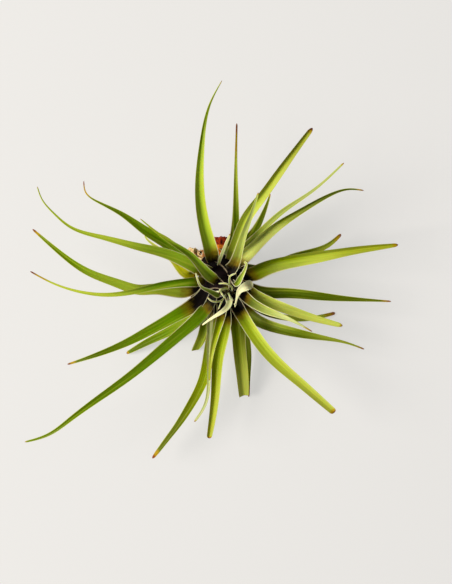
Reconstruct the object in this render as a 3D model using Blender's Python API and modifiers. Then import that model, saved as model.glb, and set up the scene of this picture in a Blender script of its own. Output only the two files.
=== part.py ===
"""Air plant, as picked and resting on a surface: a rosette of long channelled leaves round a
short leaning stem, with a bud of small curled leaves in its heart.

Metres, +Z up. The origin is the centre of the flat spot under the stem. Lengths below are in
millimetres and are turned to metres when a mesh is made. Leaves are named by the ring of the
stem that they grow from, the lowest and oldest ring first.
"""

from dataclasses import dataclass
from math import cos, log, radians, sin

import bmesh
import bpy
import numpy as np
from mathutils import Vector

MM = 0.001

# The stem leans from the origin to the heart of the rosette. Its profile gives distances along
# the axis from the top down, each with the radius there.
HEART = Vector((10.0, -19.0, 45.0))
STEM_AXIS = HEART.normalized()
STEM_TURN = Vector((0.0, 0.0, 1.0)).rotation_difference(STEM_AXIS)
STEM_TOP = 46.0
STEM_PROFILE = (
    (STEM_TOP, 4.8), (42.0, 7.0), (36.0, 9.6), (28.0, 12.4),
    (20.0, 13.8), (12.0, 13.8), (5.0, 11.8), (-6.0, 6.0),
)
STEM_SIDES = 28

# The woody stump at the foot of the stem, where the plant was broken off.
STUMP_START = Vector((1.0, 2.0, 9.0))
STUMP_END = Vector((5.5, 17.5, 7.0))
STUMP_RADIUS = 5.6
STUMP_SIDES = 12

# The block that cuts the flat spot is a cube of this size.
GROUND_SIZE = 60.0

# Rings of leaves up the stem, and how blades lie against it.
FIRST_RING = 10.0
RING_PITCH = 5.3
ROOT_CLEARANCE = 0.8
ROOT_FOLD = 8.0
ROOT_GATHER = 0.35
GATHER_LENGTH = 16.0
FOLD_SHARE = 0.14

# Blades: the thickness of each kind, the strips across it, and the rounding of the crease.
LEAF_THICKNESS = 0.9
SCALE_THICKNESS = 0.8
CURL_THICKNESS = 0.7
LEAF_STRIPS = 4
CURL_STRIPS = 2
CREASE_ROUNDING = 0.3
FULL_FOLD_HALF_WIDTH = 1.5

# The bud of unopened leaves, standing just clear of the top of the stem.
BUD_GAP = 0.35
BUD_LENGTH = 8.0
BUD_FOOT_RADIUS = 4.4
BUD_TOP_RADIUS = 2.0
BUD_SIDES = 14


@dataclass(frozen=True)
class Leaf:
    """One blade: where it grows, the route of its midrib to the tip, and its section.

    The width goes from the root to the tip, slowly at first where taper is under one. A belly is
    what the blade has besides, at most at the share of its length that belly_at gives.
    """

    name: str
    route: tuple
    ring: float = 0.0
    bearing: float = 0.0
    width: float = 8.0
    taper: float = 1.0
    tip: float = 0.9
    belly: float = 0.0
    belly_at: float = 0.5
    fold: float = 32.0
    roll: float = 0.0
    tone: str = "leaf_green"
    steps: int = 13


OUTER_LEAVES = (
    Leaf("outer_leaf_1", ((12, 11, 27), (14.9, 28.5, 38), (14.9, 53.5, 50), (15.3, 87.5, 60)),
         ring=0, bearing=75, width=9, taper=1.7, fold=34, roll=22, tone="leaf_dark"),
    Leaf("outer_leaf_2", ((33, -4.2, 17), (51.5, 3, 22), (66, 7.2, 24.5), (75.8, 11.2, 25),
                          (84.9, 19.1, 24)),
         ring=0, bearing=12, width=7, taper=0.7, tip=2.2, fold=28, roll=-12, tone="leaf_dark"),
    Leaf("outer_leaf_3", ((21, -45.5, 9), (24.1, -60.5, 7), (24.2, -75.5, 4), (24.3, -91, 1)),
         ring=0, bearing=-64, width=7, taper=0.9, fold=26, tone="leaf_dark"),
    Leaf("outer_leaf_4", ((-4, -33, 9), (-6, -44, 8), (-9.1, -52.4, 5), (-12.9, -59.4, 1)),
         ring=0, bearing=-108, width=9, taper=0.4, tip=1.2, fold=26, tone="leaf_dark"),
    Leaf("outer_leaf_5", ((-15.5, -6.5, 15), (-26.8, 2.4, 19), (-40.7, 12.8, 20), (-45.6, 18.6, 18.5),
                          (-44.6, 22.8, 17)),
         ring=0, bearing=-178, width=7.6, taper=0.9, tip=0.6, fold=28, roll=20, tone="leaf_yellow"),
    Leaf("outer_leaf_6", ((23.3, 15.6, 26), (29.7, 25.2, 33.5), (34.4, 36.1, 41), (37, 44, 46)),
         ring=1, bearing=61, width=9.5, taper=1.2, tip=0.7, roll=20, tone="leaf_dark"),
    Leaf("outer_leaf_7", ((33, -32, 14), (48.5, -36.5, 13), (67, -37, 7), (83, -33.6, 1)),
         ring=1, bearing=-37, width=6, taper=0.9, tip=1.8, fold=28, roll=20, tone="leaf_dark"),
    Leaf("outer_leaf_8", ((0.5, -37, 20), (-2.2, -55, 24), (-5.8, -74.3, 26), (-15.8, -95.3, 26),
                          (-40.7, -130, 22)),
         ring=1, bearing=-100, width=8.2, taper=0.65, tip=1.2, belly=1.2, roll=-26),
    Leaf("outer_leaf_9", ((-17, -37, 13), (-32.5, -47.5, 12), (-46.5, -54.5, 7), (-59.5, -61.5, 1)),
         ring=1, bearing=-131, width=9.5, taper=0.75, tip=1.6, fold=26, roll=-20),
)

MIDDLE_LEAVES = (
    Leaf("middle_leaf_1", ((29, 18, 38), (45.4, 32.5, 52), (63.8, 44.7, 60), (82.7, 61.8, 64)),
         ring=2, bearing=54, width=6.5, taper=1.4, roll=20, tone="leaf_pale"),
    Leaf("middle_leaf_2", ((28.5, -18.5, 21), (47.5, -20, 28), (73.5, -22.5, 32), (100, -24.5, 31),
                           (117.5, -25.5, 28)),
         ring=2, bearing=-22, width=9.5, taper=1.1, tip=0.8, belly=0.8, fold=30, roll=8,
         tone="leaf_dark"),
    Leaf("middle_leaf_3", ((16, -41, 19), (17.9, -58.5, 18), (19.7, -73.5, 13), (21, -90.6, 6)),
         ring=2, bearing=-72, width=10, taper=0.5, tip=6, fold=30, roll=15),
    Leaf("middle_leaf_4", ((-2, -38, 26), (-2.7, -58, 30), (-2.9, -77.5, 31), (-5.2, -93, 29),
                           (-12.5, -105.3, 26)),
         ring=2, bearing=-106, width=4.5, taper=1.2, fold=30, roll=15, tone="leaf_pale"),
    Leaf("middle_leaf_5", ((-12.5, -16.6, 19), (-36, -18.4, 30), (-49, -17.8, 35), (-60.2, -14.3, 38),
                           (-79.3, -7.1, 43), (-99.3, 5.7, 43), (-117.6, 21.4, 40)),
         ring=2, bearing=-166, width=9.5, taper=0.9, roll=25),
    Leaf("middle_leaf_6", ((-9, -4, 32), (-30, 12.2, 47), (-42.5, 19.6, 53), (-56.9, 29.6, 58),
                           (-72.2, 37.5, 61), (-80.2, 43.6, 61), (-81.6, 51, 60)),
         ring=2, bearing=153, width=10, taper=1.5, tip=0.5, belly=2.2, belly_at=0.45, roll=15, steps=16),
    Leaf("middle_leaf_7", ((14.5, 10.5, 40), (20.9, 26.7, 50), (29.7, 39.1, 59), (45.7, 61.3, 70),
                           (61.7, 82.3, 76)),
         ring=3, bearing=69, width=8.5, taper=0.75, tip=2.2, roll=-16),
    Leaf("middle_leaf_8", ((24.5, -8.2, 27), (32.5, -4.9, 33), (56.5, 1.2, 42), (85.5, 6.4, 47),
                           (119.4, 11.1, 46)),
         ring=3, bearing=10, width=11, taper=0.85, tip=2, belly=0.3, fold=34, roll=-34),
    Leaf("middle_leaf_9", ((24.1, -34.3, 25), (44, -43.8, 33), (70.1, -49.3, 35), (87, -52.5, 33),
                           (99.5, -57, 30)),
         ring=3, bearing=-47, width=10.4, taper=1.4, tip=0.8, belly=1.6, fold=30, roll=20,
         tone="leaf_dark"),
    Leaf("middle_leaf_10", ((8, -39.5, 31), (3.4, -60.5, 38), (1.7, -83.5, 40), (-2.3, -115.2, 34)),
         ring=3, bearing=-91, width=9.5, taper=0.8, tip=3.2, fold=34, roll=8),
    Leaf("middle_leaf_11", ((-11.4, -26.2, 28), (-23, -33.9, 35), (-40.8, -44.1, 40.5),
                            (-63.4, -55.3, 42), (-95, -66.5, 38)),
         ring=3, bearing=-142, width=10.8, roll=-16),
    Leaf("middle_leaf_12", ((-1, 4, 37), (-6, 26, 52), (-8, 48.5, 63), (-6.3, 74, 71), (-1.5, 97.5, 75),
                            (6, 111.5, 77)),
         ring=3, bearing=118, width=11.4, taper=1.3, tip=0.5, roll=-30),
)

INNER_LEAVES = (
    Leaf("inner_leaf_1", ((24.6, 7.4, 48), (38.3, 20, 60), (55, 31, 68), (70, 39.5, 73), (85, 44.5, 74),
                          (94, 43.8, 73)),
         ring=4, bearing=59, width=11, taper=1.35, tip=0.6, fold=34, roll=-28, tone="leaf_dark",
         steps=15),
    Leaf("inner_leaf_2", ((29.5, -22.5, 36), (49.8, -31.1, 45), (69, -37.3, 49), (83.2, -41, 49)),
         ring=4, bearing=-12, width=8.5, taper=0.8, tip=2.4, belly=0.8, fold=30, roll=-15,
         tone="leaf_pale"),
    Leaf("inner_leaf_3", ((20, -36.5, 38), (34.3, -57.2, 46), (55.4, -77, 50), (78.2, -96.8, 48)),
         ring=4, bearing=-61, width=8.8, taper=0.9, tip=4.4, belly=0.2, fold=34, roll=-15),
    Leaf("inner_leaf_4", ((-5, -29.8, 39), (-20.2, -45.2, 48.5), (-39.4, -62, 55), (-64.8, -81.4, 58),
                          (-90.3, -100, 58), (-104.4, -109.9, 56), (-120, -115, 54)),
         ring=4, bearing=-134, width=9, taper=0.95, fold=34, roll=-25, steps=16),
    Leaf("inner_leaf_5", ((-8, -12.8, 37.6), (-30.5, -14.8, 50), (-46, -18.2, 56), (-64.5, -21, 61),
                          (-83.5, -19.5, 63), (-102.5, -13.5, 62), (-115.5, -6.5, 60)),
         ring=4, bearing=-178, width=7.5, taper=1.6, tip=0.7, fold=34, roll=22, steps=15),
    Leaf("inner_leaf_6", ((-5, -6, 40), (-25.5, 3.5, 54), (-45.5, 8.9, 63), (-70, 15.1, 70),
                          (-88.5, 21.2, 72), (-99, 29.5, 72), (-106, 38.5, 71), (-109, 46.5, 70)),
         ring=4, bearing=146, width=10.6, taper=1.6, tip=0.5, fold=34, roll=20, steps=18),
    Leaf("inner_leaf_7", ((14, -0.5, 55), (18.3, 13, 70), (24.3, 29.5, 84), (28, 41, 90)),
         ring=5, bearing=81, width=9.5, taper=1.1, fold=36, roll=20, tone="leaf_pale"),
    Leaf("inner_leaf_8", ((26.5, -27, 47), (36.5, -32, 55), (49.3, -36.9, 62), (62.8, -44.3, 62)),
         ring=5, bearing=-20, width=9.5, fold=22, tone="leaf_pale"),
    Leaf("inner_leaf_9", ((5.5, -33, 46), (2.5, -45, 55), (-0.5, -57.5, 59), (-2.2, -75.5, 57)),
         ring=5, bearing=-104, width=8.5, taper=1.1, fold=34),
    Leaf("inner_leaf_10", ((-4.8, -6.3, 54), (-13.8, 3.6, 68), (-29, 14, 80), (-43.5, 26, 87)),
         ring=6, bearing=148, width=9.4, taper=1.35, tip=0.5, fold=34, roll=15),
)

HEART_LEAVES = (
    Leaf("heart_leaf_1", ((15, -14, 50), (18, -9.5, 60), (20.5, -4.5, 67), (21, -1.5, 69),
                          (19.5, -0.5, 67)),
         ring=6.4, bearing=55, width=3.4, taper=0.8, tip=1, belly=1.2, fold=34, tone="heart_leaf"),
    Leaf("heart_leaf_2", ((18, -18.5, 50), (21, -16.5, 60), (22.6, -15, 66), (22, -15, 69.5),
                          (20, -16, 71.5), (17.5, -17.8, 71), (15.8, -21, 68.5), (14, -29, 62)),
         ring=6.4, bearing=-10, width=2.2, tip=0.7, belly=3.6, belly_at=0.58, fold=24, tone="heart_leaf",
         steps=20),
    Leaf("heart_leaf_3", ((10.5, -25.5, 50), (9, -29, 56), (5.5, -32, 59), (0, -35.5, 58),
                          (-7, -40.5, 54)),
         ring=6.4, bearing=-72, width=3.2, taper=0.9, tip=0.7, belly=1.2, belly_at=0.45, fold=26,
         tone="heart_leaf"),
    Leaf("heart_leaf_4", ((2.5, -21, 50.5), (-2.5, -18.5, 59.5), (-7.5, -15.5, 66), (-9.5, -11, 69),
                          (-10.5, -7, 69)),
         ring=6.4, bearing=-165, width=4.6, taper=1.1, tip=0.6, belly=0.6, belly_at=0.4, fold=34,
         tone="heart_leaf"),
)

# Small curls that grow out of the bud: the route of each, from inside the bud to its tip.
CURL_WIDTH = 2.0
CURL_FOLD = 20.0
CURL_STEPS = 8
CURLS = (
    ((10.5, -17, 47), (10.5, -12.5, 54), (12, -8.5, 60), (15, -7.5, 61)),
    ((11.5, -19, 47), (12, -16, 55), (8.5, -14, 59), (3.5, -14, 57)),
    ((10.5, -18.5, 47), (8, -17, 55), (4.5, -18, 58), (4, -19.5, 56)),
    ((9.5, -19.5, 47), (11, -23, 55), (11.5, -25.5, 54)),
    ((8.5, -18.5, 47), (5, -19, 54), (6.5, -21.5, 56), (8.5, -23.5, 54)),
    ((8.5, -21.5, 47), (3, -25.5, 55.5), (-1.5, -24.5, 58), (-3.5, -22.5, 58)),
    ((8.5, -20.5, 47), (5, -27, 52), (3.5, -30.5, 53.5)),
)

# Dry remains of the oldest leaf bases, low on the stem.
SCALES = (
    Leaf("dry_scale_1", ((-12.5, 6, 9), (-17, 9, 11)),
         ring=-1, bearing=135, width=9, taper=0.5, tip=4, fold=24, tone="dry_scale", steps=6),
    Leaf("dry_scale_2", ((-15, -4, 6), (-20, -4.5, 7)),
         ring=-1, bearing=175, width=8, taper=0.6, tip=3, fold=22, tone="dry_scale", steps=6),
    Leaf("dry_scale_3", ((-12, -20.5, 4.5), (-15.5, -24.5, 5)),
         ring=-0.6, bearing=-150, width=8, taper=0.6, tip=3, fold=20, tone="dry_scale", steps=6),
    Leaf("dry_scale_4", ((16, 9, 9), (19, 12.5, 10)),
         ring=-1, bearing=38, width=8, taper=0.6, tip=2.5, fold=22, tone="dry_scale", steps=6),
)

# Each tone's colour and roughness.
TONES = {
    "leaf_green": ((0.19, 0.30, 0.02), 0.5),
    "leaf_dark": ((0.09, 0.17, 0.01), 0.5),
    "leaf_pale": ((0.36, 0.45, 0.10), 0.6),
    "leaf_yellow": ((0.48, 0.38, 0.03), 0.55),
    "heart_leaf": ((0.50, 0.55, 0.22), 0.7),
    "dry_scale": ((0.42, 0.25, 0.10), 0.85),
    "stem": ((0.05, 0.02, 0.015), 0.8),
}


def clear_scene():
    """Remove every object that the file starts with."""
    for item in list(bpy.data.objects):
        bpy.data.objects.remove(item, do_unlink=True)


def new_collection(name):
    """A collection linked to the scene."""
    made = bpy.data.collections.new(name)
    bpy.context.scene.collection.children.link(made)
    return made


def material(tone):
    """The Principled material of a tone, made once."""
    found = bpy.data.materials.get(tone)
    if found:
        return found
    colour, roughness = TONES[tone]
    made = bpy.data.materials.new(tone)
    made.use_nodes = True
    shader = made.node_tree.nodes["Principled BSDF"]
    shader.inputs["Base Color"].default_value = (*colour, 1.0)
    shader.inputs["Roughness"].default_value = roughness
    shader.inputs["Metallic"].default_value = 0.0
    return made


def mesh_from(bm, name):
    """The mesh of a bmesh, which is then freed."""
    mesh = bpy.data.meshes.new(name)
    bm.to_mesh(mesh)
    bm.free()
    return mesh


def add_object(name, mesh, tone, collection):
    """An object of the mesh, in the collection, with its tone's material."""
    made = bpy.data.objects.new(name, mesh)
    mesh.materials.append(material(tone))
    collection.objects.link(made)
    return made


def stem_radius(along):
    """Radius of the stem, and of the bud above it, at distances along the axis, in mm."""
    heights, widths = zip(*reversed(STEM_PROFILE))
    bud_top = STEM_TOP + BUD_GAP + BUD_LENGTH
    return np.where(along > bud_top, 0.0, np.interp(along, heights, widths))


def clear_of_stem(points):
    """Points pushed straight out from the stem's axis until they lie clear of its surface."""
    axis = np.array(STEM_AXIS)
    along = points @ axis
    outward = points - along[:, None] * axis
    reach = np.linalg.norm(outward, axis=1)
    wanted = np.maximum(reach, stem_radius(along) + ROOT_CLEARANCE)
    return points + outward * (wanted / reach - 1)[:, None]


def root_point(leaf):
    """Where a leaf meets the stem, just clear of its surface, in mm."""
    along = FIRST_RING + RING_PITCH * leaf.ring
    bearing = radians(leaf.bearing)
    outward = STEM_TURN @ Vector((cos(bearing), sin(bearing), 0.0))
    return STEM_AXIS * along + outward * float(stem_radius(along) + ROOT_CLEARANCE)


def smooth_route(points, count):
    """Read a natural cubic spline through the points at equal steps of length.

    The spline's second derivatives come from one small linear system over chord lengths.
    """
    knots = np.array(points, float)
    chord = np.concatenate(([0.0], np.cumsum(np.linalg.norm(np.diff(knots, axis=0), axis=1))))
    gap = np.diff(chord)
    size = len(knots)
    system = np.eye(size)
    change = np.zeros_like(knots)
    for i in range(1, size - 1):
        system[i, i - 1:i + 2] = gap[i - 1], 2 * (gap[i - 1] + gap[i]), gap[i]
        change[i] = 6 * ((knots[i + 1] - knots[i]) / gap[i] - (knots[i] - knots[i - 1]) / gap[i - 1])
    bend = np.linalg.solve(system, change)
    fine = np.linspace(0.0, chord[-1], 40 * size)
    cell = np.clip(np.searchsorted(chord, fine, side="right") - 1, 0, size - 2)
    span = gap[cell][:, None]
    after = (fine - chord[cell])[:, None] / span
    before = 1.0 - after
    curve = before * knots[cell] + after * knots[cell + 1]
    curve += ((before**3 - before) * bend[cell] + (after**3 - after) * bend[cell + 1]) * span**2 / 6
    length = np.concatenate(([0.0], np.cumsum(np.linalg.norm(np.diff(curve, axis=0), axis=1))))
    stations = np.linspace(0.0, length[-1], count)
    return np.stack([np.interp(stations, length, curve[:, axis]) for axis in range(3)], axis=1)


def unit(vectors):
    """Rows scaled to length one."""
    return vectors / np.linalg.norm(vectors, axis=1, keepdims=True)


def half_width(leaf, share, length):
    """Half of the blade's width at shares of its length from root to tip, in mm."""
    near_root = np.clip(1 - share * length / GATHER_LENGTH, 0.0, 1.0)
    gathered = 1 - ROOT_GATHER * near_root**2 * (3 - 2 * near_root)
    tapered = (leaf.tip + (leaf.width - leaf.tip) * (1 - share) ** leaf.taper) * gathered
    belly = leaf.belly * np.sin(np.pi * share ** (log(0.5) / log(leaf.belly_at))) ** 4
    return (tapered + belly) / 2


def blade_points(leaf, route, row, across):
    """Where the blade's grid lies in mm, from each vertex's row and its place across (-1 to 1).

    Across the blade the surface rises from the midrib to both edges in a rounded V. The V opens
    flat towards the root, where the blade lies against the stem, and where the blade is narrow.
    The side direction is level and stays on the same hand where the leaf turns over. A rolled
    blade is as wide seen from above as a level one, and its edges lie evenly about the route.
    """
    centre = smooth_route(route, leaf.steps + 1)
    forward = unit(np.gradient(centre, axis=0))
    level_side = unit(np.cross(forward, (0.0, 0.0, 1.0)))
    swung = np.sum(level_side[1:] * level_side[:-1], axis=1) < 0
    level_side[1:] *= np.cumprod(np.where(swung, -1.0, 1.0))[:, None]
    level_lift = np.cross(level_side, forward)
    roll = radians(leaf.roll)
    side = level_side * cos(roll) + level_lift * sin(roll)
    lift = level_lift * cos(roll) - level_side * sin(roll)

    share = np.linspace(0.0, 1.0, leaf.steps + 1)
    length = float(np.sum(np.linalg.norm(np.diff(centre, axis=0), axis=1)))
    half = half_width(leaf, share, length) / cos(roll)
    opened = np.clip(share / FOLD_SHARE, 0.0, 1.0)
    narrowed = np.clip(half / FULL_FOLD_HALF_WIDTH, 0.0, 1.0)
    slope = np.tan(np.radians(ROOT_FOLD + (leaf.fold - ROOT_FOLD) * opened) * narrowed)
    crease = np.hypot(across, CREASE_ROUNDING) - CREASE_ROUNDING
    crease /= np.hypot(1.0, CREASE_ROUNDING) - CREASE_ROUNDING
    centre = centre + level_side * (half * slope * sin(roll))[:, None]
    out = (half[row] * across)[:, None] * side[row]
    up = (half[row] * slope[row] * crease)[:, None] * lift[row]
    return centre[row] + out + up


def blade_mesh(leaf, route, strips, clear):
    """The open surface of a blade, as triangles, pushed clear of the stem where asked."""
    bm = bmesh.new()
    bmesh.ops.create_grid(bm, x_segments=leaf.steps, y_segments=strips, size=1.0)
    flat = np.array([vertex.co for vertex in bm.verts])
    row = np.rint((flat[:, 0] + 1) / 2 * leaf.steps).astype(int)
    placed = blade_points(leaf, route, row, flat[:, 1])
    if clear:
        placed = clear_of_stem(placed)
    for vertex, point in zip(bm.verts, placed * MM):
        vertex.co = point
    bmesh.ops.triangulate(bm, faces=bm.faces)
    bmesh.ops.recalc_face_normals(bm, faces=bm.faces)
    return mesh_from(bm, leaf.name)


def make_solid(blade, thickness):
    """Give an open surface its thickness, half to each side."""
    solid = blade.modifiers.new("thickness", "SOLIDIFY")
    solid.thickness = thickness * MM
    solid.offset = 0.0


def build_blade(leaf, collection, thickness):
    """A leaf that grows from the stem."""
    route = (tuple(root_point(leaf)), *leaf.route)
    blade = add_object(leaf.name, blade_mesh(leaf, route, LEAF_STRIPS, True), leaf.tone, collection)
    make_solid(blade, thickness)


def tapered_solid(name, sides, radii, ends, tone, collection):
    """A closed cone frustum between two points, with a radius at each, in mm."""
    start, end = ends
    bm = bmesh.new()
    bmesh.ops.create_cone(bm, cap_ends=True, segments=sides, radius1=radii[0] * MM,
                          radius2=radii[1] * MM, depth=(end - start).length * MM)
    made = add_object(name, mesh_from(bm, name), tone, collection)
    made.location = (start + end) / 2 * MM
    made.rotation_mode = "QUATERNION"
    made.rotation_quaternion = (end - start).to_track_quat("Z", "Y")
    return made


def build_heart_bud(plant):
    """The bud with its small curls, joined into one body."""
    pieces = new_collection("heart_bud_pieces")
    ends = (STEM_AXIS * (STEM_TOP + BUD_GAP), STEM_AXIS * (STEM_TOP + BUD_GAP + BUD_LENGTH))
    radii = (BUD_FOOT_RADIUS, BUD_TOP_RADIUS)
    bud = tapered_solid("bud", BUD_SIDES, radii, ends, "heart_leaf", plant)
    for number, route in enumerate(CURLS, start=1):
        curl = Leaf(f"curl_{number}", route, width=CURL_WIDTH, fold=CURL_FOLD, steps=CURL_STEPS)
        mesh = blade_mesh(curl, route, CURL_STRIPS, False)
        make_solid(add_object(curl.name, mesh, "heart_leaf", pieces), CURL_THICKNESS)
    union = bud.modifiers.new("curls", "BOOLEAN")
    union.operation = "UNION"
    union.operand_type = "COLLECTION"
    union.collection = pieces
    bpy.context.view_layer.update()
    joined = bpy.data.meshes.new_from_object(bud.evaluated_get(bpy.context.evaluated_depsgraph_get()))
    joined.transform(bud.matrix_world)
    joined.materials.clear()
    for item in (bud, *pieces.objects):
        bpy.data.objects.remove(item, do_unlink=True)
    bpy.data.collections.remove(pieces)
    add_object("heart_bud", joined, "heart_leaf", plant)


def build_ground(cutters):
    """A block below the surface that the plant rests on, to cut the flat spot."""
    bm = bmesh.new()
    bmesh.ops.create_cube(bm, size=GROUND_SIZE * MM)
    ground = add_object("ground", mesh_from(bm, "ground"), "stem", cutters)
    ground.location = (0.0, 0.0, -GROUND_SIZE / 2 * MM)
    return ground


def build_stump(cutters):
    """The short woody stump, as a plain cylinder that the stem takes in."""
    ends = (STUMP_START, STUMP_END)
    return tapered_solid("stump", STUMP_SIDES, (STUMP_RADIUS, STUMP_RADIUS), ends, "stem", cutters)


def build_stem(plant, cutters):
    """The stem: a turned profile, leaning, with the stump joined on and a flat spot below."""
    bm = bmesh.new()
    outline = ((STEM_TOP, 0.0), *STEM_PROFILE, (STEM_PROFILE[-1][0], 0.0))
    chain = [bm.verts.new((radius * MM, 0.0, height * MM)) for height, radius in outline]
    for upper, lower in zip(chain, chain[1:]):
        bm.edges.new((upper, lower))
    stem = add_object("stem", mesh_from(bm, "stem"), "stem", plant)
    stem.rotation_mode = "QUATERNION"
    stem.rotation_quaternion = STEM_TURN
    turned = stem.modifiers.new("turned", "SCREW")
    turned.steps = STEM_SIDES
    turned.render_steps = STEM_SIDES
    turned.use_merge_vertices = True
    turned.merge_threshold = 0.00001
    for label, operation, tool in (("stump", "UNION", build_stump(cutters)),
                                   ("flat_spot", "DIFFERENCE", build_ground(cutters))):
        tool.hide_render = True
        tool.display_type = "WIRE"
        step = stem.modifiers.new(label, "BOOLEAN")
        step.operation = operation
        step.object = tool


def main():
    """Build the plant from the stem outwards."""
    clear_scene()
    plant = new_collection("air_plant")
    cutters = new_collection("cutters")
    build_stem(plant, cutters)
    build_heart_bud(plant)
    for leaf in OUTER_LEAVES + MIDDLE_LEAVES + INNER_LEAVES + HEART_LEAVES:
        build_blade(leaf, plant, LEAF_THICKNESS)
    for scale in SCALES:
        build_blade(scale, plant, SCALE_THICKNESS)


main()
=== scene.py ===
"""Air plant, dressed: every leaf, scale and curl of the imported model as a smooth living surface.

Metres, +Z up. Forms are written in millimetres and are turned to metres when a mesh is made.
"""

from __future__ import annotations

import logging
from dataclasses import dataclass, replace
from enum import Enum
from math import radians

import bpy
import numpy as np
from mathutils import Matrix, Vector


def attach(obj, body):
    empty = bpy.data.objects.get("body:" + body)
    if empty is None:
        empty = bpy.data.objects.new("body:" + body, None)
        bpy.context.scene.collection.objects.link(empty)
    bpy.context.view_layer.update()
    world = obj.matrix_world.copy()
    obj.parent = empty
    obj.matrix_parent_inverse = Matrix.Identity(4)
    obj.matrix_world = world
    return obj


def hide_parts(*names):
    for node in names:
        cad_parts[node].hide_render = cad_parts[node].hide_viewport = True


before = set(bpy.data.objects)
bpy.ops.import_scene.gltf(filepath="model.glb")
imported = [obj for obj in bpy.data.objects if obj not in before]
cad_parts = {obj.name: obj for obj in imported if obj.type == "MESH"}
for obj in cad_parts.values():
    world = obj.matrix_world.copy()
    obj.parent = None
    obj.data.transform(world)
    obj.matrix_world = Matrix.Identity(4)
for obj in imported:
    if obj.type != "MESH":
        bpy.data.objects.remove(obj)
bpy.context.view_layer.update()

LOG = logging.getLogger("air_plant")
MM = 0.001

Point = tuple[float, float, float]
Array = np.ndarray
Piece = bpy.types.Object
Material = bpy.types.Material
Tree = bpy.types.NodeTree
Socket = bpy.types.NodeSocket
Colour = tuple[float, float, float, float]
Marks = dict[str, Array]

# Fine steps of a spline for each of its points, before it is read at equal lengths.
SPLINE_STEPS = 60


# Colour and nodes


def linear(colour: str) -> Colour:
    """Turn an sRGB hex colour into linear red, green, blue and alpha.

    Args:
        colour: The colour as six hex digits after a hash sign.

    Returns:
        The linear colour, opaque. Each channel is a straight line near black and a power of 2.4 above.
    """
    channels = np.array([int(colour[i:i + 2], 16) for i in (1, 3, 5)]) / 255.0
    low = channels / 12.92
    high = ((channels + 0.055) / 1.055) ** 2.4
    return (*np.where(channels <= 0.04045, low, high).tolist(), 1.0)


def new_material(name: str, settings: dict) -> tuple[Material, bpy.types.Node]:
    """Start a material.

    Args:
        name: The material's name.
        settings: Plain values for its shader, by the input's name.

    Returns:
        The material and its shader.
    """
    made = bpy.data.materials.new(name)
    made.use_nodes = True
    shader = made.node_tree.nodes["Principled BSDF"]
    for label, value in settings.items():
        shader.inputs[label].default_value = value
    return made, shader


def add_node(tree: Tree, kind: str, links: dict | None = None, output: str | int = 0, **settings) -> Socket:
    """Add one node to a tree, with its settings and links.

    Args:
        tree: The node tree.
        kind: The node's type name, after the word ShaderNode.
        links: Input name or index to either an output socket or a plain value.
        output: Name or index of the output that is wanted.
        settings: Properties of the node itself.

    Returns:
        The output socket.
    """
    made = tree.nodes.new("ShaderNode" + kind)
    for name, value in settings.items():
        setattr(made, name, value)
    for name, value in (links or {}).items():
        if isinstance(value, Socket):
            tree.links.new(value, made.inputs[name])
        else:
            made.inputs[name].default_value = value
    return made.outputs[output]


def lay_coats(tree: Tree, base: Socket | Colour, coats: tuple, curve: str = "LINEAR") -> Socket:
    """Lay coats of colour over a base, one by one.

    Args:
        tree: The node tree.
        base: The lowest colour.
        coats: For each coat what sets its share, that reading's range, the share's range and the
            coat's colour.
        curve: How the share runs over its range, as MapRange names it.

    Returns:
        The colour of them all, each coat mixed in by its share.
    """
    # For colours, a Mix node takes its share at 0, what lies below at 6 and what lies above at 7.
    for reading, (low, high), (start, end), over in coats:
        share = add_node(tree, "MapRange", {"Value": reading, "From Min": low, "From Max": high,
                                            "To Min": start, "To Max": end}, interpolation_type=curve)
        base = add_node(tree, "Mix", {0: share, 6: base, 7: over}, 2, data_type="RGBA")
    return base


# Meshes


def skin(name: str, points: Array, marks: Marks) -> Piece:
    """Make a closed object from a grid of rings.

    Args:
        name: The object's name.
        points: Rings of points in mm, as an array of rings by points round each ring by 3. Seen from
            the last ring, the points of a ring run anticlockwise. A dimension before these makes
            several bodies.
        marks: Names of vertex attributes, each with a value for every point.

    Returns:
        The object. Neighbouring rings are joined by quads, and both end rings are closed by a cap.
    """
    rings, around = points.shape[-3:-1]
    index = np.arange(points.size // 3).reshape(-1, rings, around)
    after = np.roll(index, -1, axis=2)
    quads = np.stack([index[:, :-1], after[:, :-1], after[:, 1:], index[:, 1:]], axis=-1).reshape(-1, 4)
    caps = np.concatenate([index[:, 0, ::-1], index[:, -1]])
    corners = np.concatenate([quads.ravel(), caps.ravel()])
    starts = np.concatenate([np.arange(len(quads)) * 4, quads.size + np.arange(len(caps)) * around])
    mesh = bpy.data.meshes.new(name)
    mesh.vertices.add(index.size)
    mesh.vertices.foreach_set("co", (points * MM).astype(np.float32).ravel())
    mesh.loops.add(len(corners))
    mesh.loops.foreach_set("vertex_index", corners.astype(np.int32))
    mesh.polygons.add(len(starts))
    mesh.polygons.foreach_set("loop_start", starts.astype(np.int32))
    mesh.polygons.foreach_set("use_smooth", np.ones(len(starts), bool))
    mesh.update(calc_edges=True)
    for label, values in marks.items():
        layer = mesh.attributes.new(label, "FLOAT", "POINT")
        layer.data.foreach_set("value", np.asarray(values, np.float32).ravel())
    mesh.validate()
    piece = bpy.data.objects.new(name, mesh)
    bpy.context.scene.collection.objects.link(piece)
    return piece


def dress(piece: Piece, finish: Material, node: str) -> Piece:
    """Give a piece its finish, and ride it on the plant in place of a CAD node.

    Args:
        piece: The new piece.
        finish: Its material.
        node: The CAD node that it stands for.

    Returns:
        The piece.
    """
    piece.data.materials.append(finish)
    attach(piece, "root")
    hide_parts(node)
    return piece


def unit(vectors: Array) -> Array:
    """Rows scaled to length one."""
    return vectors / np.linalg.norm(vectors, axis=-1, keepdims=True)


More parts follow.
